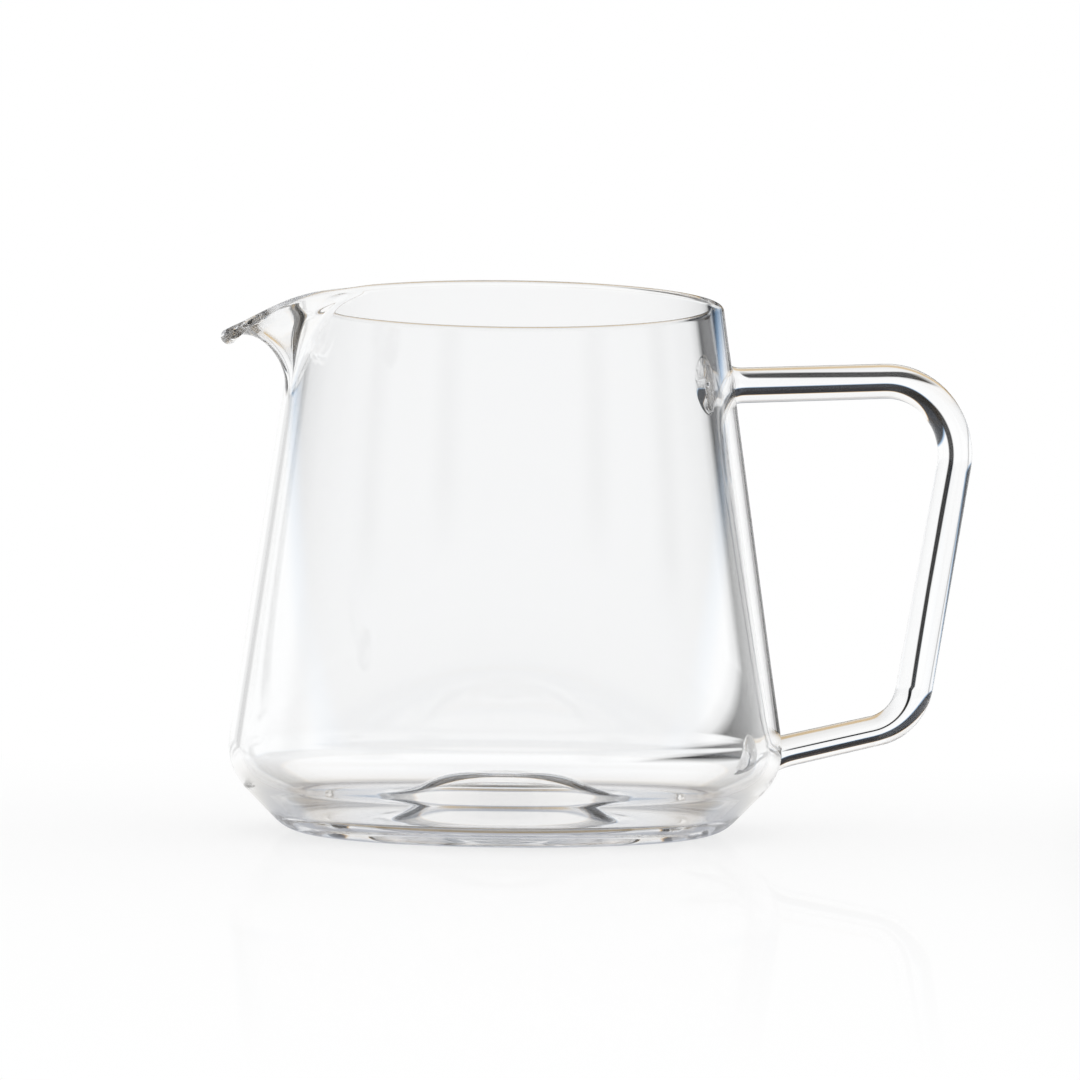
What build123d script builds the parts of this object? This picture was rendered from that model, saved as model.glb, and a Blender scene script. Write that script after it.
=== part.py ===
from build123d import *
import math
import os

# A glass coffee server: a blown conical jug with a spout drawn out of its rim, and a bent
# glass rod welded to its wall as the handle. It has no lid and nothing on it moves.
# Frame: the table is z = 0, the jug's axis is Z, the handle is on +X and the spout on -X.
# All sizes are in millimetres and all angles in degrees.

# Jug body
BODY_RADIUS = 55.0  # outside, at the widest point, just above the shoulder
HEIGHT = 105.1  # table to the top of the rim
WALL_LEAN = 8.0  # the wall leans in towards the rim
WALL = 2.4
SHOULDER_RADIUS = 12.0  # outside bend from the cone down to the 45 degree chamfer
SHOULDER_INSIDE_RADIUS = 9.0
FOOT_CORNER_RADIUS = 43.1  # where the chamfer, drawn on, would meet the table
FOOT_BEND_RADIUS = 9.0  # outside bend from the chamfer to the foot ring
FOOT_BEND_INSIDE_RADIUS = 6.0

# Base: the jug stands on a ring, and the middle of its floor is pushed up
FOOT_RING_INNER_RADIUS = 36.6
FOOT_RING_SLOPE = 1.8  # width of the ramp from the ring's land up to the floor
FOOT_RING_BEND_RADIUS = 1.5
FLOOR_UNDERSIDE = 0.9  # the floor between the ring and the push-up clears the table by this
FLOOR_THICKNESS = 2.5
PUSH_UP_FOOT_RADIUS = 21.5
PUSH_UP_TOP_RADIUS = 11.5
PUSH_UP_HEIGHT = 11.2  # top of the push-up, inside the jug
PUSH_UP_BEND_RADIUS = 6.0
PUSH_UP_OFFSET = 1.0  # its slope underneath stands this much nearer the axis than inside

# Rim and spout
RIM_EDGE_RADIUS = WALL / 2  # the melted round edge
COLLAR_BOTTOM = 78.0  # below this height the wall is a plain cone all round
SPOUT_HALF_ANGLE = 40.0  # the spout's roots on the rim, either side of -X
COLLAR_HALF_ANGLE = 50.0
SPOUT_REACH = 14.1  # how far the lip is drawn out, from the rim to the nose
SPOUT_DROP = 6.6  # how far the nose hangs below the rim
SPOUT_DROP_POWER = 1.4
SPOUT_LIP_TURN = 123.0  # how far the lip is turned over at the nose
SPOUT_LIP_TURN_POWER = 0.75
SPOUT_LIP_RADIUS = 0.8  # half the glass at the drawn lip, thinner than the wall
SPOUT_BEAD_RADIUS = 1.5  # the nose gathers to a round bead beyond the thin lip
SPOUT_BEAD_POWER = 8
COLLAR_FOOT_PULL = 21.0  # reach of the curve's tangent up the plain wall
COLLAR_LIP_PULL = 3.0  # and back from the plain lip
SPOUT_FOOT_PULL = 15.5  # the same two under the nose
SPOUT_LIP_PULL = 8.7

# Handle rod
UPPER_ARM_START = (49.8, 90.8)
UPPER_CORNER = (100.6, 93.9)
LOWER_CORNER = (87.0, 21.4)
LOWER_ARM_END = (60.8, 16.0)
UPPER_BEND_RADIUS = 15.0
LOWER_BEND_RADIUS = 11.0
ROD_UPPER_RADIUS = 3.65
ROD_GRIP_TOP_RADIUS = 3.55
ROD_GRIP_FOOT_RADIUS = 3.85  # the glass gathered here when the lower bend was made
ROD_LOWER_RADIUS = 3.2
ROD_LOWER_END_RADIUS = 3.3

# Welds: the rod's ends, spread on the wall while soft
UPPER_WELD_LENGTH = 6.2
UPPER_WELD_RADIUS = 6.8
LOWER_WELD_LENGTH = 8.0
LOWER_WELD_RADIUS = 5.6
WELD_SINK = 4.0  # length of weld stock that the wall's own curve trims off

LEAN_SLOPE = math.tan(math.radians(WALL_LEAN))
WALL_ACROSS = WALL / math.cos(math.radians(WALL_LEAN))


def cone_radius(height):
    """Outside radius of the plain conical wall at a height, from the shoulder's arc up."""
    arc_r = BODY_RADIUS - SHOULDER_RADIUS
    arc_z = arc_r - FOOT_CORNER_RADIUS + SHOULDER_RADIUS * math.sqrt(2)
    at_table = arc_r + SHOULDER_RADIUS / math.cos(math.radians(WALL_LEAN)) + arc_z * LEAN_SLOPE
    return at_table - height * LEAN_SLOPE


def chamfer_meets_wall(foot_corner, wall_at_table):
    """Corner of a 45 degree line up from the foot and the wall's line, as (radius, height)."""
    height = (wall_at_table - foot_corner) / (1 + LEAN_SLOPE)
    return foot_corner + height, height


def outside_line():
    """Half outline of the outside, from the axis under the base to the collar."""
    points = [
        (0, PUSH_UP_HEIGHT - FLOOR_THICKNESS),
        (PUSH_UP_TOP_RADIUS - PUSH_UP_OFFSET, PUSH_UP_HEIGHT - FLOOR_THICKNESS),
        (PUSH_UP_FOOT_RADIUS - PUSH_UP_OFFSET, FLOOR_UNDERSIDE),
        (FOOT_RING_INNER_RADIUS - FOOT_RING_SLOPE, FLOOR_UNDERSIDE),
        (FOOT_RING_INNER_RADIUS, 0),
        (FOOT_CORNER_RADIUS, 0),
        chamfer_meets_wall(FOOT_CORNER_RADIUS, cone_radius(0)),
        (cone_radius(COLLAR_BOTTOM), COLLAR_BOTTOM),
    ]
    bends = [
        PUSH_UP_BEND_RADIUS,
        PUSH_UP_BEND_RADIUS,
        FOOT_RING_BEND_RADIUS,
        0,
        FOOT_BEND_RADIUS,
        SHOULDER_RADIUS,
    ]
    return FilletPolyline(*points, radius=bends)


def inside_line():
    """Half outline of the inside, from the axis on the push-up to the collar."""
    floor = FLOOR_UNDERSIDE + FLOOR_THICKNESS
    foot_corner = FOOT_CORNER_RADIUS - WALL * math.sqrt(2)
    shoulder = chamfer_meets_wall(foot_corner, cone_radius(0) - WALL_ACROSS)
    points = [
        (0, PUSH_UP_HEIGHT),
        (PUSH_UP_TOP_RADIUS, PUSH_UP_HEIGHT),
        (PUSH_UP_FOOT_RADIUS, floor),
        (foot_corner + floor, floor),
        shoulder,
        (cone_radius(COLLAR_BOTTOM) - WALL_ACROSS, COLLAR_BOTTOM),
    ]
    bends = [
        PUSH_UP_BEND_RADIUS,
        PUSH_UP_BEND_RADIUS,
        FOOT_BEND_INSIDE_RADIUS,
        SHOULDER_INSIDE_RADIUS,
    ]
    return FilletPolyline(*points, radius=bends)


def body():
    """Base, chamfer, shoulder and cone up to the collar, as one turned shell."""
    with BuildPart() as turned:
        with BuildSketch(Plane.XZ):
            with BuildLine():
                outer = outside_line()
                inner = inside_line()
                Line(outer @ 0, inner @ 0)
                Line(outer @ 1, inner @ 1)
            make_face()
        revolve(axis=Axis.Z)
    return turned.part


def collar_section(off_spout):
    """Wall section from the collar's foot to the lip, in the plane at this angle off -X.

    Away from the spout it is the straight cone with a round edge. Towards the nose the
    lip moves out and down and gets thinner, and the wall follows it in one open curve.
    """
    share = min(abs(off_spout) / SPOUT_HALF_ANGLE, 1)
    draw = math.cos(math.radians(90 * share)) ** 2
    rim_height = HEIGHT - RIM_EDGE_RADIUS
    lip = Vector(
        cone_radius(rim_height) - WALL_ACROSS / 2 + SPOUT_REACH * draw,
        rim_height - SPOUT_DROP * draw**SPOUT_DROP_POWER,
    )
    flank = 90 / SPOUT_HALF_ANGLE * SPOUT_REACH * math.sin(math.radians(180 * share)) / lip.X
    edge = RIM_EDGE_RADIUS + (SPOUT_LIP_RADIUS - RIM_EDGE_RADIUS) * draw
    edge = edge * math.hypot(1, flank)  # the plane cuts the spout's flanks at a slant
    bead = edge + (SPOUT_BEAD_RADIUS - SPOUT_LIP_RADIUS) * draw**SPOUT_BEAD_POWER
    up_wall = Vector(0, 1).rotate(Axis.Z, WALL_LEAN)
    turned_over = WALL_LEAN - SPOUT_LIP_TURN * draw**SPOUT_LIP_TURN_POWER
    along = Vector(0, 1).rotate(Axis.Z, turned_over)
    across = along.rotate(Axis.Z, -90)
    foot_outside = Vector(cone_radius(COLLAR_BOTTOM), COLLAR_BOTTOM)
    foot_inside = foot_outside - Vector(WALL_ACROSS, 0)
    foot_pull = up_wall * (COLLAR_FOOT_PULL + (SPOUT_FOOT_PULL - COLLAR_FOOT_PULL) * draw)
    lip_pull = along * (COLLAR_LIP_PULL + (SPOUT_LIP_PULL - COLLAR_LIP_PULL) * draw)
    lip_outside = lip + across * edge
    lip_inside = lip - across * edge
    lip_end = lip + along * (bead + math.sqrt(bead**2 - edge**2))

    angle = math.radians(180 + off_spout)
    plane = Plane(
        origin=(0, 0, 0),
        x_dir=(math.cos(angle), math.sin(angle), 0),
        z_dir=(math.sin(angle), -math.cos(angle), 0),
    )
    with BuildSketch(plane) as section:
        with BuildLine():
            Bezier(foot_outside, foot_outside + foot_pull, lip_outside - lip_pull, lip_outside)
            ThreePointArc(lip_outside, lip_end, lip_inside)
            Bezier(lip_inside, lip_inside - lip_pull, foot_inside + foot_pull, foot_inside)
            Line(foot_inside, foot_outside)
        make_face()
    return section.sketch


def collar():
    """Plain rim round the jug, and the spout drawn through the wall sections in its gap."""
    plain = revolve(
        collar_section(COLLAR_HALF_ANGLE),
        axis=Axis.Z,
        revolution_arc=360 - 2 * COLLAR_HALF_ANGLE,
    )
    half = [4, 8, 12, 16, 20, 24, 28, 32, 36, SPOUT_HALF_ANGLE, 43, 46, 48, COLLAR_HALF_ANGLE]
    angles = [-angle for angle in reversed(half)] + [0] + half
    spout = loft([collar_section(angle) for angle in angles])
    return plain, spout


def jug():
    """The blown jug: turned body, rim and spout in one piece of glass."""
    plain, spout = collar()
    return body().fuse(plain, spout, tol=1e-4)


def body_block():
    """The space inside the jug's outside line, which trims the welds to the wall."""
    with BuildPart() as block:
        with BuildSketch(Plane.XZ):
            with BuildLine():
                outer = outside_line()
                top = (cone_radius(HEIGHT), HEIGHT)
                Line(outer @ 1, top)
                Line(top, (0, HEIGHT))
                Line((0, HEIGHT), outer @ 0)
            make_face()
        revolve(axis=Axis.Z)
    return block.part


def on_handle(point):
    """A (radius, height) point of the handle's own plane, in the jug's frame."""
    return Vector(point[0], 0, point[1])


def handle_path():
    """Centre line of the rod: level arm, top bend, leaning grip, lower bend, lower arm."""
    corners = [UPPER_ARM_START, UPPER_CORNER, LOWER_CORNER, LOWER_ARM_END]
    points = [on_handle(corner) for corner in corners]
    return FilletPolyline(*points, radius=[UPPER_BEND_RADIUS, LOWER_BEND_RADIUS])


def rod_span(edge, start_radius, end_radius):
    """One straight or bent run of the rod, between a round section at each of its ends."""
    start = Plane(origin=edge @ 0, x_dir=(0, 1, 0), z_dir=edge % 0)
    end = Plane(origin=edge @ 1, x_dir=(0, 1, 0), z_dir=edge % 1)
    sections = [start * Circle(start_radius), end * Circle(end_radius)]
    return sweep(sections, path=edge, multisection=True)


def handle_rod():
    """Solid glass rod, bent hot, a little thicker or thinner where the bends drew it."""
    arm, top_bend, grip, low_bend, low_arm = handle_path().edges()
    rod = rod_span(arm, ROD_UPPER_RADIUS, ROD_UPPER_RADIUS)
    rod += rod_span(top_bend, ROD_UPPER_RADIUS, ROD_GRIP_TOP_RADIUS)
    rod += rod_span(grip, ROD_GRIP_TOP_RADIUS, ROD_GRIP_FOOT_RADIUS)
    rod += rod_span(low_bend, ROD_GRIP_FOOT_RADIUS, ROD_LOWER_RADIUS)
    rod += rod_span(low_arm, ROD_LOWER_RADIUS, ROD_LOWER_END_RADIUS)
    return rod


def weld(rod_end, far_corner, rod_radius, length, foot_radius):
    """Flared foot of the rod, turned about the arm's own line and trimmed to the wall."""
    start = on_handle(rod_end)
    towards_wall = (start - on_handle(far_corner)).normalized()
    profile = Plane(origin=start, x_dir=towards_wall, z_dir=(0, 1, 0))
    rod_edge = (0, rod_radius)
    foot_edge = (length, foot_radius)
    with BuildPart() as flare:
        with BuildSketch(profile):
            with BuildLine():
                Line((0, 0), rod_edge)
                Bezier(
                    rod_edge,
                    (length * 0.45, rod_radius),
                    (length * 0.62, rod_radius + (foot_radius - rod_radius) * 0.3),
                    foot_edge,
                )
                Line(foot_edge, (length + WELD_SINK, foot_radius))
                Line((length + WELD_SINK, foot_radius), (length + WELD_SINK, 0))
                Line((length + WELD_SINK, 0), (0, 0))
            make_face()
        revolve(axis=Axis(start, towards_wall))
    return flare.part - body_block()


parts = {
    "glass_jug": jug(),
    "handle_rod": handle_rod(),
    "upper_handle_weld": weld(
        UPPER_ARM_START, UPPER_CORNER, ROD_UPPER_RADIUS, UPPER_WELD_LENGTH, UPPER_WELD_RADIUS
    ),
    "lower_handle_weld": weld(
        LOWER_ARM_END, LOWER_CORNER, ROD_LOWER_END_RADIUS, LOWER_WELD_LENGTH, LOWER_WELD_RADIUS
    ),
}

os.makedirs("parts", exist_ok=True)
for name, shape in parts.items():
    export_step(shape, f"parts/{name}.step")
    print(name, "valid", shape.is_valid, "volume", round(shape.volume), "mm3")
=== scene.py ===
import math

import bmesh
import bpy
from mathutils import Matrix, Vector


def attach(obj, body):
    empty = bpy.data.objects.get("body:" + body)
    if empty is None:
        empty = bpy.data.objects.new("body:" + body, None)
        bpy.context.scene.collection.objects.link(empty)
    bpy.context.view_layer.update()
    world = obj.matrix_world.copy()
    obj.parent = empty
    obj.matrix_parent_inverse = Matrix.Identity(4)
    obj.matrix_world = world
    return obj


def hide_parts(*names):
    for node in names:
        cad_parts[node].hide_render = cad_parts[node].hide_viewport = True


# A clear glass coffee server: a blown conical jug with a spout pulled out of its rim, and a
# solid glass rod bent into a handle and melted onto the wall at both ends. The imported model
# gives its frame: the table is z = 0, the handle is on +X and the spout on -X, in metres.
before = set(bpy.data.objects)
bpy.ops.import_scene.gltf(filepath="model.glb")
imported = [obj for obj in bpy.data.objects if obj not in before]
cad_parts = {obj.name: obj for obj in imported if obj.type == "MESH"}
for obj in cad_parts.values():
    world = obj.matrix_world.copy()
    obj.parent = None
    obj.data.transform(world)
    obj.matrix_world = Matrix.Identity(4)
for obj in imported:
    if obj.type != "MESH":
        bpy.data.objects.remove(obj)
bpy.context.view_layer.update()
scene = bpy.context.scene
MM = 0.001

# Camera. It stands in front and a little to the spout's side, below the height of the rim, and
# looks slightly up, so that the near rim shows above the far one.
HANDLE_TURNED_AWAY = math.radians(15.5)
CAMERA_DISTANCE = 550 * MM
CAMERA_HEIGHT = 42.6 * MM
CAMERA_PAN = math.radians(0.67)
CAMERA_TILT = math.radians(1.62)
CAMERA_ROLL = math.radians(0.63)
CAMERA_LENS = 91.62

heading = HANDLE_TURNED_AWAY + CAMERA_PAN
level = Vector((math.sin(heading), math.cos(heading), 0))
right = Vector((math.cos(heading), -math.sin(heading), 0))
ahead = level * math.cos(CAMERA_TILT) + Vector((0, 0, math.sin(CAMERA_TILT)))
above = right.cross(ahead)
right_rolled = right * math.cos(CAMERA_ROLL) + above * math.sin(CAMERA_ROLL)
above_rolled = above * math.cos(CAMERA_ROLL) - right * math.sin(CAMERA_ROLL)
facing = Matrix((right_rolled, above_rolled, -ahead)).transposed()
bpy.ops.object.camera_add(
    location=(
        -CAMERA_DISTANCE * math.sin(HANDLE_TURNED_AWAY),
        -CAMERA_DISTANCE * math.cos(HANDLE_TURNED_AWAY),
        CAMERA_HEIGHT,
    ),
    rotation=facing.to_euler(),
)
camera = bpy.context.object
camera.name = "photograph_camera"
camera.data.lens = CAMERA_LENS
camera.data.sensor_width = 36
scene.camera = camera

# Studio light. Bright boards stand all round the table, a dark gap lies above them, and a wide
# soft box hangs overhead. Six dark flags stand upright between the boards and give the glass its
# outlines from every side. The plain background behind the object stays white.
BOARD = (1, 1, 1, 1)
GAP_LOW_FRINGE = (0.3, 0.5, 0.75, 1)
GAP = (0.02, 0.025, 0.035, 1)
GAP_HIGH_FRINGE = (0.8, 0.5, 0.2, 1)
SOFT_BOX = (1, 1, 1, 1)
CEILING = (0.6, 0.61, 0.64, 1)
CEILING_HOLE = (0.05, 0.1, 0.16, 1)
DARK_OVERHEAD = (0.02, 0.03, 0.04, 1)
GAP_FROM = 9.5
GAP_TO = 28.0
# Degrees above the table, and the light that comes from there.
LIGHT_BY_HEIGHT = [
    (-90, BOARD),
    (GAP_FROM - 1, BOARD),
    (GAP_FROM, GAP_LOW_FRINGE),
    (GAP_FROM + 1, GAP),
    (GAP_TO - 1, GAP),
    (GAP_TO, GAP_HIGH_FRINGE),
    (GAP_TO + 1, SOFT_BOX),
    (46, SOFT_BOX),
    (58, CEILING),
    (66, CEILING),
    (72, CEILING_HOLE),
    (90, DARK_OVERHEAD),
]
LOOK_BEARING = 90 - math.degrees(HANDLE_TURNED_AWAY)
# Bearings and widths in degrees, and the share of the light that each flag leaves.
FLAGS = [
    {"right_of_view": 17, "half_width": 4.5, "soft_edge": 1.6, "leaves": 0.02},
    {"right_of_view": -31, "half_width": 1.5, "soft_edge": 3.0, "leaves": 0.55},
    {"right_of_view": -82, "half_width": 2.0, "soft_edge": 9.0, "leaves": 0.4},
    {"right_of_view": -128, "half_width": 2.0, "soft_edge": 9.0, "leaves": 0.4},
    {"right_of_view": 96, "half_width": 2.0, "soft_edge": 9.0, "leaves": 0.4},
    {"right_of_view": 143, "half_width": 2.0, "soft_edge": 9.0, "leaves": 0.4},
]
FLAG_TOPS_FROM, FLAG_TOPS_TO = math.radians(GAP_TO - 4), math.radians(GAP_TO + 2)
BOUNCES_IN_GLASS = 128

scene.view_settings.view_transform = "Standard"
scene.cycles.max_bounces = BOUNCES_IN_GLASS
scene.cycles.transmission_bounces = BOUNCES_IN_GLASS
scene.cycles.glossy_bounces = BOUNCES_IN_GLASS
scene.cycles.transparent_max_bounces = BOUNCES_IN_GLASS


def feed(links, sockets, values):
    """Puts a plain number or another node's socket on each of these sockets, in order."""
    for socket, value in zip(sockets, values):
        if isinstance(value, (int, float)):
            socket.default_value = value
        else:
            links.new(value, socket)


def math_node(nodes, links, operation, *values):
    """A Math node with plain numbers or sockets on its inputs."""
    node = nodes.new("ShaderNodeMath")
    node.operation = operation
    feed(links, node.inputs, values)
    return node.outputs[0]


def range_node(nodes, links, value, low, high, at_low=0, at_high=1):
    """A Map Range node that goes from one level to another as the value goes from low to high."""
    node = nodes.new("ShaderNodeMapRange")
    feed(links, node.inputs, (value, low, high, at_low, at_high))
    return node.outputs[0]


def ramp_node(nodes, links, factor, stops):
    """A Color Ramp with these (position, colour) stops on a factor socket."""
    node = nodes.new("ShaderNodeValToRGB")
    elements = node.color_ramp.elements
    elements[0].position, elements[0].color = stops[0]
    elements[1].position, elements[1].color = stops[-1]
    for position, colour in stops[1:-1]:
        elements.new(position).color = colour
    links.new(factor, node.inputs["Fac"])
    return node.outputs["Color"]


def dimmed_node(nodes, links, colour, level):
    """A colour socket scaled by a level socket."""
    node = nodes.new("ShaderNodeVectorMath")
    node.operation = "SCALE"
    links.new(colour, node.inputs[0])
    links.new(level, node.inputs["Scale"])
    return node.outputs[0]


def mixed_node(nodes, links, factor, at_none, at_full):
    """A Mix Shader node: the first shader where the factor is 0 and the second where it is 1."""
    node = nodes.new("ShaderNodeMixShader")
    feed(links, node.inputs, (factor, at_none, at_full))
    return node.outputs[0]


def grey(level):
    """An opaque grey."""
    return (level, level, level, 1)


def flag_stops():
    """Ramp stops for what the flags leave of the light, once round by bearing."""
    stops = [(0.0, grey(1)), (1.0, grey(1))]
    for flag in FLAGS:
        middle = (LOOK_BEARING - flag["right_of_view"] + 180) % 360
        edge = flag["half_width"]
        outer = edge + flag["soft_edge"]
        for offset, left in (
            (-outer, 1),
            (-edge, flag["leaves"]),
            (edge, flag["leaves"]),
            (outer, 1),
        ):
            stops.append(((middle + offset) / 360, grey(left)))
    return sorted(stops)


def left_by_flags(nodes, links, direction, strength):
    """What the flags leave of the light from a direction, where they count with this strength."""
    split = nodes.new("ShaderNodeSeparateXYZ")
    links.new(direction, split.inputs[0])
    bearing = math_node(nodes, links, "ARCTAN2", split.outputs["Y"], split.outputs["X"])
    turn_share = math_node(nodes, links, "MULTIPLY_ADD", bearing, 1 / math.tau, 0.5)
    left = ramp_node(nodes, links, turn_share, flag_stops())
    taken = math_node(nodes, links, "SUBTRACT", 1.0, left)
    taken_here = math_node(nodes, links, "MULTIPLY", taken, strength)
    return math_node(nodes, links, "SUBTRACT", 1.0, taken_here)


studio = bpy.data.worlds.new("studio")
scene.world = studio
studio.use_nodes = True
nodes, links = studio.node_tree.nodes, studio.node_tree.links
nodes.clear()
direction = nodes.new("ShaderNodeTexCoord").outputs["Generated"]
split = nodes.new("ShaderNodeSeparateXYZ")
links.new(direction, split.inputs[0])
elevation = math_node(nodes, links, "ARCSINE", split.outputs["Z"])
height_share = math_node(nodes, links, "MULTIPLY_ADD", elevation, 1 / math.pi, 0.5)
by_height = ramp_node(
    nodes, links, height_share, [(angle / 180 + 0.5, colour) for angle, colour in LIGHT_BY_HEIGHT]
)
under_tops = range_node(nodes, links, elevation, FLAG_TOPS_FROM, FLAG_TOPS_TO, 1, 0)
past_flags = left_by_flags(nodes, links, direction, under_tops)
seen_by_glass = nodes.new("ShaderNodeBackground")
links.new(dimmed_node(nodes, links, by_height, past_flags), seen_by_glass.inputs["Color"])
plain_white = nodes.new("ShaderNodeBackground")
plain_white.inputs["Color"].default_value = grey(1)
ray = nodes.new("ShaderNodeLightPath")
through_glass = math_node(
    nodes, links, "MAXIMUM", ray.outputs["Is Glossy Ray"], ray.outputs["Is Transmission Ray"]
)
sky = nodes.new("ShaderNodeOutputWorld")
seen = mixed_node(nodes, links, through_glass, plain_white.outputs[0], seen_by_glass.outputs[0])
links.new(seen, sky.inputs["Surface"])

# Table. A wide sheet of glossy white acrylic with the jug's soft shadow and faint mirror image,
# which runs into the background unseen. Through the glass it shows a painted glow instead: a
# painted shadow under the jug, a painted warm sheen where it is looked at steeply, and painted
# mirror images of the flags farther off.
FLOOR_DROP = 0.05 * MM
TABLE_WIDTH = 16
NEAR_TABLE = (0.93, 0.92, 0.91, 1)
# Painted shadow under the jug and painted shade beside it, for what the glass sees of the table.
SHADOW_PAINTED_UNDER_JUG = (0.45, 0.47, 0.52, 1)
SHADE_PAINTED_BESIDE_JUG = (0.76, 0.75, 0.73, 1)
# Metres from the jug's axis, and the table's colour there as the glass sees it: a painted shade.
PAINTED_SHADE_BY_DISTANCE = [
    (0.0, NEAR_TABLE),
    (0.02, NEAR_TABLE),
    (0.027, SHADOW_PAINTED_UNDER_JUG),
    (0.041, SHADOW_PAINTED_UNDER_JUG),
    (0.058, SHADE_PAINTED_BESIDE_JUG),
    (0.085, NEAR_TABLE),
    (0.15, BOARD),
]
# Painted sheen on the table as the glass sees it, by slant: from 0, looked at straight from above,
# to 1, looked at along the table.
PAINTED_SHEEN_BY_SLANT = [
    (0.0, (0.7, 0.68, 0.66, 1)),
    (0.2, (0.7, 0.65, 0.57, 1)),
    (0.3, (0.66, 0.47, 0.24, 1)),
    (0.39, (0.7, 0.52, 0.28, 1)),
    (0.46, (0.9, 0.89, 0.88, 1)),
    (0.62, (0.94, 0.94, 0.94, 1)),
    (0.8, BOARD),
]
# Metres from the axis over which the painted mirror images of the flags come in.
PAINTED_IMAGES_FROM, PAINTED_IMAGES_TO = 0.16, 0.28
BLENDS_FROM, BLENDS_TO = 0.12, 0.3
MATT_SHARE = 0.22
POLISH_SHARE = 0.06
POLISH_ROUGHNESS = 0.02

bpy.ops.object.select_all(action="DESELECT")
bpy.ops.mesh.primitive_plane_add(size=TABLE_WIDTH, location=(0, 0, -FLOOR_DROP))
table = bpy.context.object
table.name = "table"
acrylic = bpy.data.materials.new("white_acrylic")
acrylic.use_nodes = True
nodes, links = acrylic.node_tree.nodes, acrylic.node_tree.links
nodes.clear()
place = nodes.new("ShaderNodeTexCoord").outputs["Object"]
from_axis = nodes.new("ShaderNodeVectorMath")
from_axis.operation = "LENGTH"
links.new(place, from_axis.inputs[0])
distance = from_axis.outputs["Value"]
# Layer Weight's Facing sets where the painted sheen falls on the table.
slant = nodes.new("ShaderNodeLayerWeight")
slant.inputs["Blend"].default_value = 0.5
# The painted shade by distance times the painted sheen by slant.
painted_shade_and_sheen = nodes.new("ShaderNodeVectorMath")
painted_shade_and_sheen.operation = "MULTIPLY"
links.new(ramp_node(nodes, links, distance, PAINTED_SHADE_BY_DISTANCE), painted_shade_and_sheen.inputs[0])
links.new(ramp_node(nodes, links, slant.outputs["Facing"], PAINTED_SHEEN_BY_SLANT), painted_shade_and_sheen.inputs[1])
# Painted reflections of the flags darken the table farther off, as the glass sees it.
painted_images_share = range_node(nodes, links, distance, PAINTED_IMAGES_FROM, PAINTED_IMAGES_TO)
past_flags = left_by_flags(nodes, links, place, painted_images_share)
# Painted light: an emission that the glass sees in place of the lit table, with painted shadow,
# painted sheen and painted flag reflections; the camera sees the lit acrylic below.
painted_glow = nodes.new("ShaderNodeEmission")
links.new(dimmed_node(nodes, links, painted_shade_and_sheen.outputs[0], past_flags), painted_glow.inputs["Color"])
white = nodes.new("ShaderNodeEmission")
white.inputs["Color"].default_value = grey(1)
matt = nodes.new("ShaderNodeBsdfDiffuse")
matt.inputs["Color"].default_value = grey(1)
polish = nodes.new("ShaderNodeBsdfGlossy")
polish.inputs["Roughness"].default_value = POLISH_ROUGHNESS
acrylic_face = mixed_node(nodes, links, MATT_SHARE, white.outputs[0], matt.outputs[0])
polished = mixed_node(nodes, links, POLISH_SHARE, acrylic_face, polish.outputs[0])
far_off = range_node(nodes, links, distance, BLENDS_FROM, BLENDS_TO)
seamless = mixed_node(nodes, links, far_off, polished, white.outputs[0])
ray = nodes.new("ShaderNodeLightPath")
surface = nodes.new("ShaderNodeOutputMaterial")
seen = mixed_node(nodes, links, ray.outputs["Is Camera Ray"], painted_glow.outputs[0], seamless)
links.new(seen, surface.inputs["Surface"])
table.data.materials.append(acrylic)

# Jug. One gather of clear borosilicate glass, blown and turned to a cone with a pushed-up floor,
# fire-polished at the rim, and pulled out with a tool into the spout while hot.
BODY_RADIUS = 55.0 * MM
HEIGHT = 105.1 * MM
WALL = 2.4 * MM
WALL_LEAN = math.radians(8)
SHOULDER_BEND = 12.0 * MM
SHOULDER_BEND_INSIDE = 9.0 * MM
FOOT_CORNER = 43.1 * MM
FOOT_BEND = 9.0 * MM
FOOT_BEND_INSIDE = 6.0 * MM
FOOT_RING_INSIDE = 36.6 * MM
FOOT_RING_SLOPE = 1.8 * MM
FOOT_RING_BEND = 1.5 * MM
FOOT_RING_EDGE = 0.8 * MM
FLOOR_UNDERSIDE = 0.9 * MM
FLOOR_THICKNESS = 2.5 * MM
PUSH_UP_FOOT = 21.5 * MM
PUSH_UP_TOP = 11.5 * MM
PUSH_UP_HEIGHT = 11.2 * MM
PUSH_UP_BEND = 15.0 * MM
PUSH_UP_OFFSET = 1.0 * MM
RIM_EDGE = WALL / 2
COLLAR_BOTTOM = 78.0 * MM
SPOUT_HALF_ANGLE = math.radians(36)
SPOUT_SHARPNESS = 3.5
SPOUT_REACH = 13.93 * MM
SPOUT_DROP = 6.6 * MM
SPOUT_DROP_POWER = 2
SPOUT_LIP_TURN = math.radians(123)
SPOUT_LIP_TURN_POWER = 0.75
SPOUT_LIP_EDGE = 0.45 * MM
THINS_TO_NOSE_POWER = 0.35
THINS_TO_LIP_POWER = 4
SPOUT_BEAD = 1.5 * MM
SPOUT_BEAD_POWER = 8
PLAIN_FLARE, SPOUT_FLARE = 1.7 * MM, 13.0 * MM
PLAIN_FOOT_PULL, SPOUT_FOOT_PULL = 0.5 * MM, 3.7 * MM
PLAIN_LIP_PULL, SPOUT_LIP_PULL = 0.5 * MM, 7.0 * MM
FLARE_BEND_RINGS = 28
DRIFT_STEP = math.radians(0.2)
COLUMNS = 320
COLLAR_RINGS = 40
LIP_RINGS = 18
ARC_STEP = math.radians(4)
RUN_STEP = 4 * MM
RUN_END_STEPS = (0.3 * MM, 1.2 * MM)
COLLAR_MARGIN = 0.01 * MM
SAME_PLACE = 0.002 * MM

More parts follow.
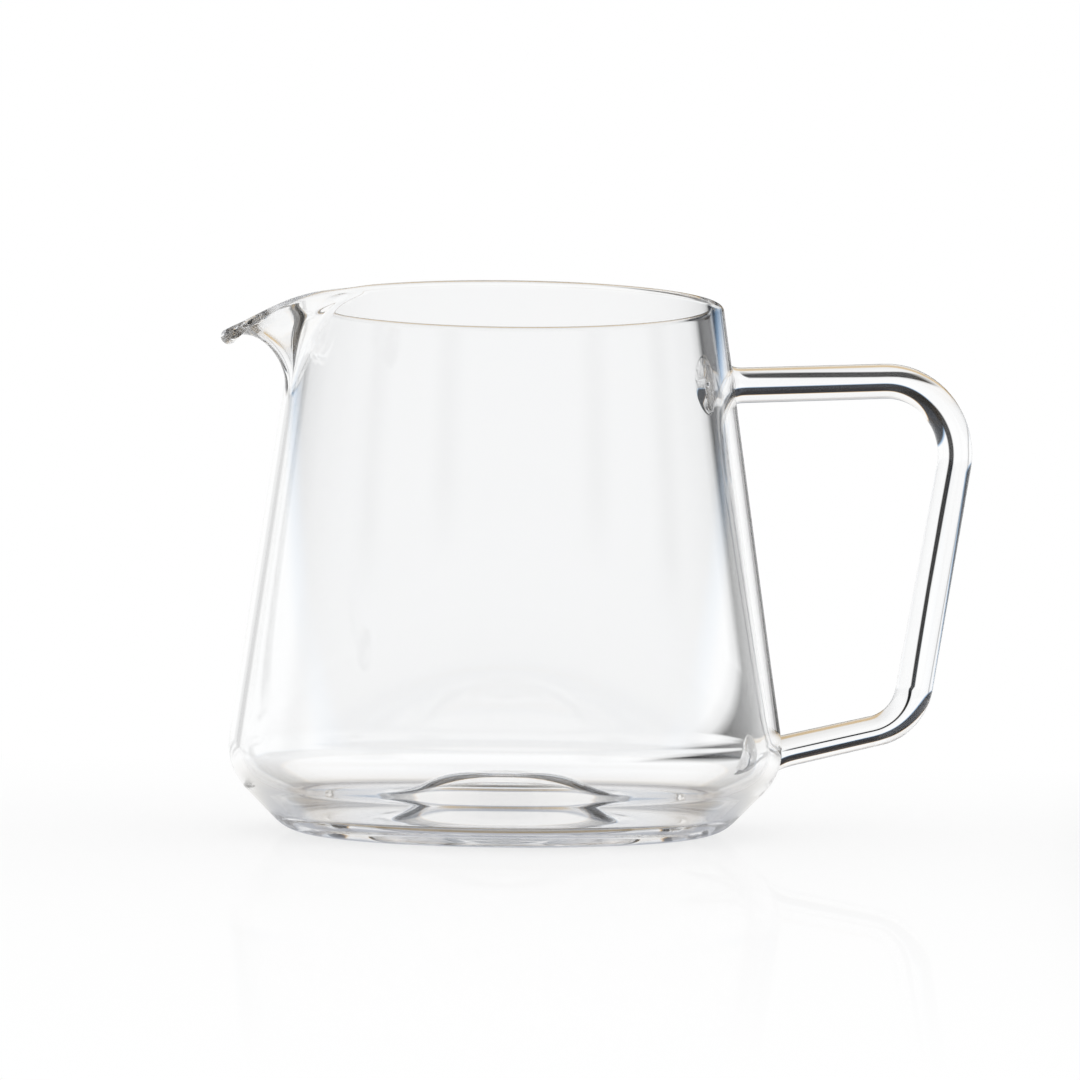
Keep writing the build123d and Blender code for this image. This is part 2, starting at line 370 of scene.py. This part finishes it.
wall_across = WALL / math.cos(WALL_LEAN)
lean_slope = math.tan(WALL_LEAN)


def cone_radius(height):
    """Outside radius of the plain conical wall at a height."""
    bend_middle = BODY_RADIUS - SHOULDER_BEND
    bend_height = bend_middle - FOOT_CORNER + SHOULDER_BEND * math.sqrt(2)
    at_table = bend_middle + SHOULDER_BEND / math.cos(WALL_LEAN) + bend_height * lean_slope
    return at_table - height * lean_slope


def chamfer_corner(foot, wall_at_table):
    """Where a 45 degree line up from the foot would meet the wall's line."""
    height = (wall_at_table - foot) / (1 + lean_slope)
    return (foot + height, height)


def turned(vector, angle):
    """A flat vector turned anticlockwise."""
    return Vector(
        (
            vector.x * math.cos(angle) - vector.y * math.sin(angle),
            vector.x * math.sin(angle) + vector.y * math.cos(angle),
        )
    )


def straight_run(start, end):
    """Points along a straight run without its start, closer together near both ends."""
    length = (end - start).length
    stations = [step for step in RUN_END_STEPS if step < length / 2.5]
    stations += [length - step for step in reversed(stations)]
    stations = [0.0] + stations + [length]
    points = []
    for here, there in zip(stations, stations[1:]):
        pieces = max(1, math.ceil((there - here) / RUN_STEP))
        for piece in range(1, pieces + 1):
            share = (here + (there - here) * piece / pieces) / length
            points.append(start.lerp(end, share))
    return points


def rounded_line(corners, bends):
    """Flat points along a line of straight runs, with a round bend at each corner."""
    corners = [Vector(corner) for corner in corners]
    points = [corners[0]]
    for before, corner, after, bend in zip(corners, corners[1:], corners[2:], bends):
        back = (before - corner).normalized()
        onward = (after - corner).normalized()
        turn = math.pi - back.angle(onward)
        reach = bend * math.tan(turn / 2)
        middle = corner + (back + onward).normalized() * bend / math.cos(turn / 2)
        sense = -math.copysign(1, back.x * onward.y - back.y * onward.x)
        points += straight_run(points[-1], corner + back * reach)
        spoke = points[-1] - middle
        steps = max(2, math.ceil(turn / ARC_STEP))
        for step in range(1, steps + 1):
            points.append(middle + turned(spoke, sense * turn * step / steps))
    return points + straight_run(points[-1], corners[-1])


def curve_point(points, share):
    """A point of the smooth curve with these control points."""
    while len(points) > 1:
        points = [here.lerp(there, share) for here, there in zip(points, points[1:])]
    return points[0]


def wall_middle(off_spout):
    """Middle line of the wall's collar, the way its lip points, and how far it is drawn out.

    Off the spout it is the straight cone. Towards the nose the lip moves out and down, and the
    wall leaves the cone lower down to follow it in one open curve.
    """
    share = min(abs(off_spout) / SPOUT_HALF_ANGLE, 1)
    draw = math.cos(math.pi / 2 * share) ** SPOUT_SHARPNESS
    rim_height = HEIGHT - RIM_EDGE
    lip = Vector(
        (
            cone_radius(rim_height) - wall_across / 2 + SPOUT_REACH * draw,
            rim_height - SPOUT_DROP * draw**SPOUT_DROP_POWER,
        )
    )
    up_wall = turned(Vector((0, 1)), WALL_LEAN)
    along = turned(Vector((0, 1)), WALL_LEAN - SPOUT_LIP_TURN * draw**SPOUT_LIP_TURN_POWER)
    foot = Vector((cone_radius(COLLAR_BOTTOM) - wall_across / 2, COLLAR_BOTTOM))
    flare = PLAIN_FLARE + (SPOUT_FLARE - PLAIN_FLARE) * draw
    leaves_cone = foot + up_wall * ((lip.y - COLLAR_BOTTOM) / math.cos(WALL_LEAN) - flare)
    foot_pull = up_wall * (PLAIN_FOOT_PULL + (SPOUT_FOOT_PULL - PLAIN_FOOT_PULL) * draw)
    lip_pull = along * (PLAIN_LIP_PULL + (SPOUT_LIP_PULL - PLAIN_LIP_PULL) * draw)
    bend = [leaves_cone, leaves_cone + foot_pull, leaves_cone + foot_pull * 2, lip - lip_pull, lip]
    straight = COLLAR_RINGS - FLARE_BEND_RINGS
    middle = [foot.lerp(leaves_cone, ring / straight) for ring in range(straight)]
    middle += [curve_point(bend, n / FLARE_BEND_RINGS) for n in range(FLARE_BEND_RINGS + 1)]
    return middle, along, draw


def wall_section(off_spout):
    """Collar of the wall at this angle off the spout: up the outside, over the lip, down inside.

    The glass keeps its thickness square to the wall, gets thinner to the drawn lip and gathers
    to a round bead at the nose.
    """
    middle, along, draw = wall_middle(off_spout)
    ahead = wall_middle(off_spout + DRIFT_STEP)[0]
    behind = wall_middle(off_spout - DRIFT_STEP)[0]
    up_outside, up_inside = [], []
    for ring, point in enumerate(middle):
        up = along
        if ring < COLLAR_RINGS:
            up = (middle[ring + 1] - middle[max(ring - 1, 0)]).normalized()
        drift = (ahead[ring] - behind[ring]) / (2 * DRIFT_STEP)
        slant = (up.y * drift.x - up.x * drift.y) / point.x
        thins = draw**THINS_TO_NOSE_POWER * (ring / COLLAR_RINGS) ** THINS_TO_LIP_POWER
        half = (RIM_EDGE - (RIM_EDGE - SPOUT_LIP_EDGE) * thins) * math.hypot(1, slant)
        out = Vector((up.y, -up.x))
        up_outside.append(point + out * half)
        up_inside.append(point - out * half)
    bead = half + (SPOUT_BEAD - SPOUT_LIP_EDGE) * draw**SPOUT_BEAD_POWER
    bead_middle = middle[-1] + along * math.sqrt(max(bead**2 - half**2, 0))
    wrap = math.acos(min(half / bead, 1))
    across = turned(along, -math.pi / 2)
    over_lip = [
        bead_middle + turned(across, (math.pi + 2 * wrap) * ring / LIP_RINGS - wrap) * bead
        for ring in range(1, LIP_RINGS)
    ]
    return up_outside[1:] + over_lip + up_inside[:0:-1]


outside = rounded_line(
    [
        (0, PUSH_UP_HEIGHT - FLOOR_THICKNESS),
        (PUSH_UP_TOP - PUSH_UP_OFFSET, PUSH_UP_HEIGHT - FLOOR_THICKNESS),
        (PUSH_UP_FOOT - PUSH_UP_OFFSET, FLOOR_UNDERSIDE),
        (FOOT_RING_INSIDE - FOOT_RING_SLOPE, FLOOR_UNDERSIDE),
        (FOOT_RING_INSIDE, 0),
        (FOOT_CORNER, 0),
        chamfer_corner(FOOT_CORNER, cone_radius(0)),
        (cone_radius(COLLAR_BOTTOM), COLLAR_BOTTOM),
    ],
    [PUSH_UP_BEND, PUSH_UP_BEND, FOOT_RING_BEND, FOOT_RING_EDGE, FOOT_BEND, SHOULDER_BEND],
)
floor_top = FLOOR_UNDERSIDE + FLOOR_THICKNESS
foot_inside = FOOT_CORNER - WALL * math.sqrt(2)
inside = rounded_line(
    [
        (0, PUSH_UP_HEIGHT),
        (PUSH_UP_TOP, PUSH_UP_HEIGHT),
        (PUSH_UP_FOOT, floor_top),
        (foot_inside + floor_top, floor_top),
        chamfer_corner(foot_inside, cone_radius(0) - wall_across),
        (cone_radius(COLLAR_BOTTOM) - wall_across, COLLAR_BOTTOM),
    ],
    [PUSH_UP_BEND, PUSH_UP_BEND, FOOT_BEND_INSIDE, SHOULDER_BEND_INSIDE],
)
plain_collar = wall_section(math.pi)
outline = outside + plain_collar + inside[::-1]

bpy.ops.object.select_all(action="DESELECT")
bpy.ops.mesh.primitive_circle_add(vertices=3, radius=1 * MM)
jug = bpy.context.object
jug.name = "blown_jug"
bpy.ops.object.mode_set(mode="EDIT")
bpy.ops.mesh.select_all(action="SELECT")
bpy.ops.mesh.merge(type="CENTER")
bpy.ops.transform.translate(value=(outline[0].x, 0, outline[0].y))
for here, there in zip(outline, outline[1:]):
    bpy.ops.mesh.extrude_region_move(
        TRANSFORM_OT_translate={"value": (there.x - here.x, 0, there.y - here.y)}
    )
bpy.ops.mesh.select_all(action="SELECT")
bpy.ops.mesh.spin(steps=COLUMNS, angle=2 * math.pi, center=(0, 0, 0), axis=(0, 0, 1))
bpy.ops.mesh.select_all(action="SELECT")
bpy.ops.mesh.remove_doubles(threshold=SAME_PLACE)
bpy.ops.mesh.normals_make_consistent(inside=False)
jug_mesh = bmesh.from_edit_mesh(jug.data)
collar_foot = COLLAR_BOTTOM + COLLAR_MARGIN
sections = {}
for vertex in jug_mesh.verts:
    radius = math.hypot(vertex.co.x, vertex.co.y)
    off_spout = math.atan2(vertex.co.y, -vertex.co.x)
    if vertex.co.z < collar_foot or abs(off_spout) >= SPOUT_HALF_ANGLE:
        continue
    column = round(off_spout * COLUMNS / math.tau)
    if column not in sections:
        sections[column] = wall_section(column * math.tau / COLUMNS)
    plain = Vector((radius, vertex.co.z))
    ring = min(range(len(plain_collar)), key=lambda n: (plain_collar[n] - plain).length_squared)
    drawn = sections[column][ring]
    vertex.co = (-drawn.x * math.cos(off_spout), drawn.x * math.sin(off_spout), drawn.y)
bmesh.update_edit_mesh(jug.data)
bpy.ops.object.mode_set(mode="OBJECT")


CLEAR = (0.995, 0.998, 1.0)
BOROSILICATE_IOR = 1.474


def clear_glass(name, waves_per_metre, wave_depth):
    """Clear borosilicate glass with the faint waves that working it leaves."""
    material = bpy.data.materials.new(name)
    material.use_nodes = True
    nodes, links = material.node_tree.nodes, material.node_tree.links
    shader = nodes["Principled BSDF"]
    shader.inputs["Base Color"].default_value = (*CLEAR, 1)
    shader.inputs["Transmission Weight"].default_value = 1
    shader.inputs["Roughness"].default_value = 0
    shader.inputs["IOR"].default_value = BOROSILICATE_IOR
    place = nodes.new("ShaderNodeTexCoord").outputs["Object"]
    stretch = nodes.new("ShaderNodeMapping")
    stretch.inputs["Scale"].default_value = waves_per_metre
    links.new(place, stretch.inputs["Vector"])
    waves = nodes.new("ShaderNodeTexNoise")
    waves.inputs["Scale"].default_value = 1
    waves.inputs["Detail"].default_value = 1
    links.new(stretch.outputs[0], waves.inputs["Vector"])
    bump = nodes.new("ShaderNodeBump")
    bump.inputs["Strength"].default_value = 1
    bump.inputs["Distance"].default_value = wave_depth
    links.new(waves.outputs["Fac"], bump.inputs["Height"])
    links.new(bump.outputs[0], shader.inputs["Normal"])
    return material


blown_glass = clear_glass("blown_glass", (40, 40, 15), wave_depth=0.02 * MM)
melted_glass = clear_glass("melted_glass", (90, 90, 90), wave_depth=0.01 * MM)
drawn_glass = clear_glass("drawn_glass", (60, 60, 60), wave_depth=0.005 * MM)
melted_together = bpy.data.materials.new("melted_together")
melted_together.use_nodes = True
no_surface = melted_together.node_tree.nodes["Principled BSDF"]
no_surface.inputs["Base Color"].default_value = (1, 1, 1, 1)
no_surface.inputs["Transmission Weight"].default_value = 1
no_surface.inputs["Roughness"].default_value = 0
no_surface.inputs["IOR"].default_value = 1
glasses = [blown_glass, melted_glass, drawn_glass, melted_together]
BLOWN, MELTED, DRAWN, SEAM = range(4)
for glass in glasses:
    jug.data.materials.append(glass)

# Handle. A solid rod, drawn straight and bent twice over a former while hot. Its two ends are
# pressed on the wall and spread to flared welds, so the straight rod is made with them first.
UPPER_ARM_START = Vector((49.8 * MM, 90.8 * MM))
UPPER_CORNER = Vector((100.6 * MM, 93.9 * MM))
LOWER_CORNER = Vector((87.0 * MM, 21.4 * MM))
LOWER_ARM_END = Vector((60.8 * MM, 16.0 * MM))
UPPER_BEND = 15.0 * MM
LOWER_BEND = 11.0 * MM
ROD_UPPER = 3.65 * MM
ROD_GRIP_TOP = 3.55 * MM
ROD_GRIP_FOOT = 3.85 * MM
ROD_LOWER = 3.2 * MM
ROD_LOWER_END = 3.3 * MM
UPPER_WELD_LENGTH = 6.2 * MM
UPPER_WELD_RADIUS = 6.8 * MM
LOWER_WELD_LENGTH = 8.0 * MM
LOWER_WELD_RADIUS = 5.6 * MM
FLARE_PULLS = (0.45, 0.62)
FLARE_SPREAD = 0.3
FLARE_STEP = 0.005
FLARE_LEAST = 0.02
FILLET = 0.8 * MM
FILLET_DIP = 0.1 * MM
WELD_SINK = 1.2 * MM
SINK_SLOPE = 0.3
CREASE_STEPS = 40
WALL_SLOPE_REACH = 0.2 * MM
FLARE_RINGS = 20
FILLET_RINGS = 8
SUNK_RINGS = 8
WELD_RINGS = FLARE_RINGS + FILLET_RINGS + SUNK_RINGS
ROUND = 96
RING_GAP = 10 * MM
SIDE = Vector((0, 1, 0))


def in_handle_plane(flat):
    """A flat point or direction of the handle's own plane, in the jug's frame."""
    return Vector((flat.x, 0, flat.y))


def wall_radius(height):
    """Outside radius of the jug at a height, read off its outline above the foot bend."""
    for here, there in zip(outside, outside[1:]):
        if here.x > FOOT_CORNER and here.y <= height <= there.y:
            return here.x + (there.x - here.x) * (height - here.y) / (there.y - here.y)
    return cone_radius(height)


def above_wall(place):
    """How far a point stands outside the jug's wall, level with it."""
    return math.hypot(place.x, place.y) - wall_radius(place.z)


def wall_normal(place):
    """The way out of the wall at a point near it."""
    rise = WALL_SLOPE_REACH
    slope = (wall_radius(place.z + rise) - wall_radius(place.z - rise)) / (2 * rise)
    return Vector((place.x, place.y, -slope * math.hypot(place.x, place.y))).normalized()


def flare_line(start, inward, radial, rod_radius, length, foot_radius):
    """Points down one side of a weld, from the rod's end to just under the jug's skin.

    The melted glass runs out on the wall in a small fillet, and the last points are sunk in it.
    """
    rim = start + radial * rod_radius
    spread = radial * (foot_radius - rod_radius)
    flare = [
        rim,
        rim + inward * length * FLARE_PULLS[0],
        rim + inward * length * FLARE_PULLS[1] + spread * FLARE_SPREAD,
        rim + inward * length + spread,
    ]

    def on_flare(share):
        return curve_point(flare, min(share, 1)) + inward * max(share - 1, 0) * length

    low, high = 0.0, 2.0
    for _ in range(CREASE_STEPS):
        middle = (low + high) / 2
        low, high = (middle, high) if above_wall(on_flare(middle)) > 0 else (low, middle)
    crease = on_flare(low)
    normal = wall_normal(crease)
    away = (radial - normal * radial.dot(normal)).normalized()
    share = low
    while (on_flare(share) - crease).length < FILLET and share > FLARE_LEAST:
        share -= FLARE_STEP
    points = [on_flare(share * ring / FLARE_RINGS) for ring in range(FLARE_RINGS + 1)]
    lift_off = points[-1]
    landing = crease + away * FILLET - normal * FILLET_DIP
    for ring in range(1, FILLET_RINGS + 1):
        part = ring / FILLET_RINGS
        rest = 1 - part
        points.append(lift_off * rest**2 + crease * (2 * rest * part) + landing * part**2)
    points.append(landing + (away - normal * SINK_SLOPE) * WELD_SINK / 2)
    edge = landing - normal * WELD_SINK
    points.append(edge)
    for ring in range(1, SUNK_RINGS - 1):
        place = edge.lerp(start + inward * length, ring / (SUNK_RINGS - 1))
        level = (wall_radius(place.z) - WELD_SINK) / math.hypot(place.x, place.y)
        points.append(Vector((place.x * level, place.y * level, place.z)))
    return points


def rod_stations():
    """(centre, direction, radius) along the rod: level arm, bend, grip, bend, lower arm."""
    here = UPPER_ARM_START
    heading = (UPPER_CORNER - UPPER_ARM_START).normalized()
    stations = [(here, heading, ROD_UPPER)]

    def add_run(end, start_radius, end_radius):
        for point in straight_run(here, end):
            share = (point - here).length / (end - here).length
            radius = start_radius + (end_radius - start_radius) * share
            stations.append((point, heading, radius))

    for corner, after, bend, run_radii, bend_end_radius in (
        (UPPER_CORNER, LOWER_CORNER, UPPER_BEND, (ROD_UPPER, ROD_UPPER), ROD_GRIP_TOP),
        (LOWER_CORNER, LOWER_ARM_END, LOWER_BEND, (ROD_GRIP_TOP, ROD_GRIP_FOOT), ROD_LOWER),
    ):
        next_heading = (after - corner).normalized()
        turn = heading.angle(next_heading)
        bend_start = corner - heading * bend * math.tan(turn / 2)
        add_run(bend_start, *run_radii)
        spoke = turned(heading, math.pi / 2) * bend
        steps = math.ceil(turn / ARC_STEP)
        for step in range(1, steps + 1):
            share = step / steps
            point = bend_start - spoke + turned(spoke, -turn * share)
            radius = run_radii[1] + (bend_end_radius - run_radii[1]) * share
            stations.append((point, turned(heading, -turn * share), radius))
        here, heading = stations[-1][0], next_heading
    add_run(LOWER_ARM_END, ROD_LOWER, ROD_LOWER_END)
    return stations


rod = rod_stations()
rings = len(rod) + 2 * WELD_RINGS
upper_sizes = (ROD_UPPER, UPPER_WELD_LENGTH, UPPER_WELD_RADIUS)
lower_sizes = (ROD_LOWER_END, LOWER_WELD_LENGTH, LOWER_WELD_RADIUS)
bpy.ops.object.select_all(action="DESELECT")
bpy.ops.mesh.primitive_circle_add(
    vertices=ROUND, radius=ROD_UPPER, fill_type="NGON", rotation=(0, math.pi / 2, 0)
)
handle = bpy.context.object
handle.name = "bent_handle"
bpy.ops.object.transform_apply(location=True, rotation=True, scale=True)
for glass in glasses:
    handle.data.materials.append(glass)
bpy.ops.object.mode_set(mode="EDIT")
bpy.ops.mesh.select_all(action="SELECT")
for ring in range(1, rings):
    bpy.ops.mesh.extrude_region_move(TRANSFORM_OT_translate={"value": (RING_GAP, 0, 0)})
handle_mesh = bmesh.from_edit_mesh(handle.data)
for face in handle_mesh.faces:
    ring = face.calc_center_median().x / RING_GAP
    on_rod = WELD_RINGS < ring < WELD_RINGS + len(rod) - 1
    face.material_index = DRAWN if on_rod else MELTED
flares = {}
for vertex in handle_mesh.verts:
    ring = round(vertex.co.x / RING_GAP) - WELD_RINGS
    angle = round(math.atan2(vertex.co.z, vertex.co.y) / math.tau * ROUND)
    centre, direction, radius = rod[min(max(ring, 0), len(rod) - 1)]
    upward = in_handle_plane(turned(direction, math.pi / 2))
    swing = angle * math.tau / ROUND
    radial = SIDE * math.cos(swing) + upward * math.sin(swing)
    if 0 <= ring < len(rod):
        vertex.co = in_handle_plane(centre) + radial * radius
        continue
    at_upper_end = ring < 0
    if (at_upper_end, angle) not in flares:
        inward = in_handle_plane(-direction if at_upper_end else direction)
        sizes = upper_sizes if at_upper_end else lower_sizes
        flares[at_upper_end, angle] = flare_line(
            in_handle_plane(centre), inward, radial, *sizes
        )
    vertex.co = flares[at_upper_end, angle][-ring if at_upper_end else ring - len(rod) + 1]
bmesh.update_edit_mesh(handle.data)
bpy.ops.mesh.select_all(action="SELECT")
bpy.ops.mesh.normals_make_consistent(inside=False)
bpy.ops.object.mode_set(mode="OBJECT")

# Melting together. The flared ends are one piece of glass with the wall and the rod. Each piece
# is cut free along the lines where they meet, and the cuts are faces that bend no light.
SMOOTH_ANGLE = math.radians(35)


def take_up(piece, *others):
    """Selects these objects alone and makes the first the active one."""
    bpy.ops.object.select_all(action="DESELECT")
    for each in (piece, *others):
        each.select_set(True)
    bpy.context.view_layer.objects.active = piece


def cut_with(piece, other, operation):
    """Joins another solid to a piece, or takes it away, with an applied Boolean."""
    take_up(piece)
    cut = piece.modifiers.new("cut", "BOOLEAN")
    cut.operation = operation
    cut.solver = "EXACT"
    cut.object = other
    bpy.ops.object.modifier_apply(modifier=cut.name)


def select_glass(piece, *kinds):
    """Opens a piece in edit mode with only the faces of these glasses selected."""
    take_up(piece)
    bpy.ops.object.mode_set(mode="EDIT")
    bpy.ops.mesh.select_mode(type="FACE")
    bpy.ops.mesh.select_all(action="DESELECT")
    cut_mesh = bmesh.from_edit_mesh(piece.data)
    for face in cut_mesh.faces:
        face.select_set(face.material_index in kinds)
    bmesh.update_edit_mesh(piece.data)


def separate_selected(piece):
    """Makes an object of its own from the selected faces."""
    bpy.ops.mesh.separate(type="SELECTED")
    bpy.ops.object.mode_set(mode="OBJECT")
    return next(each for each in bpy.context.selected_objects if each is not piece)


def finish_piece(piece, name, node):
    """Closes a piece, smooths it and hangs it on the frame in its node's place."""
    take_up(piece)
    piece.name = piece.data.name = name
    bpy.ops.object.mode_set(mode="EDIT")
    bpy.ops.mesh.select_all(action="SELECT")
    bpy.ops.mesh.remove_doubles(threshold=SAME_PLACE)
    bpy.ops.object.mode_set(mode="OBJECT")
    sides = len(piece.data.polygons)
    bpy.ops.object.mode_set(mode="EDIT")
    bpy.ops.mesh.select_all(action="SELECT")
    bpy.ops.mesh.fill_holes(sides=0)
    bpy.ops.mesh.select_all(action="SELECT")
    bpy.ops.mesh.normals_make_consistent(inside=False)
    bpy.ops.object.mode_set(mode="OBJECT")
    for cap in piece.data.polygons[sides:]:
        cap.material_index = SEAM
    bpy.ops.object.shade_smooth_by_angle(angle=SMOOTH_ANGLE)
    bpy.ops.object.material_slot_remove_unused()
    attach(piece, "root")
    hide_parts(node)


take_up(handle)
bpy.ops.object.duplicate()
cut_handle = bpy.context.object
cut_with(cut_handle, jug, "DIFFERENCE")
cut_with(jug, handle, "UNION")
bpy.data.objects.remove(handle)
select_glass(jug, MELTED, DRAWN, SEAM)
bpy.ops.mesh.delete(type="FACE")
bpy.ops.mesh.select_mode(type="EDGE")
bpy.ops.mesh.select_non_manifold(extend=False)
bpy.ops.mesh.mark_sharp()
bpy.ops.object.mode_set(mode="OBJECT")
select_glass(cut_handle, BLOWN)
bpy.ops.mesh.duplicate()
patches = separate_selected(cut_handle)
for piece in (patches, cut_handle):
    for face in piece.data.polygons:
        if face.material_index == BLOWN:
            face.material_index = SEAM
take_up(jug, patches)
bpy.ops.object.join()
select_glass(cut_handle, DRAWN)
rod_piece = separate_selected(cut_handle)
take_up(cut_handle)
bpy.ops.object.mode_set(mode="EDIT")
bpy.ops.mesh.select_all(action="SELECT")
bpy.ops.mesh.separate(type="LOOSE")
bpy.ops.object.mode_set(mode="OBJECT")
upper_weld, lower_weld = sorted(
    bpy.context.selected_objects, key=lambda weld: -weld.data.vertices[0].co.z
)
finish_piece(jug, "blown_jug", "glass_jug")
finish_piece(rod_piece, "bent_rod", "handle_rod")
finish_piece(upper_weld, "upper_weld", "upper_handle_weld")
finish_piece(lower_weld, "lower_weld", "lower_handle_weld")
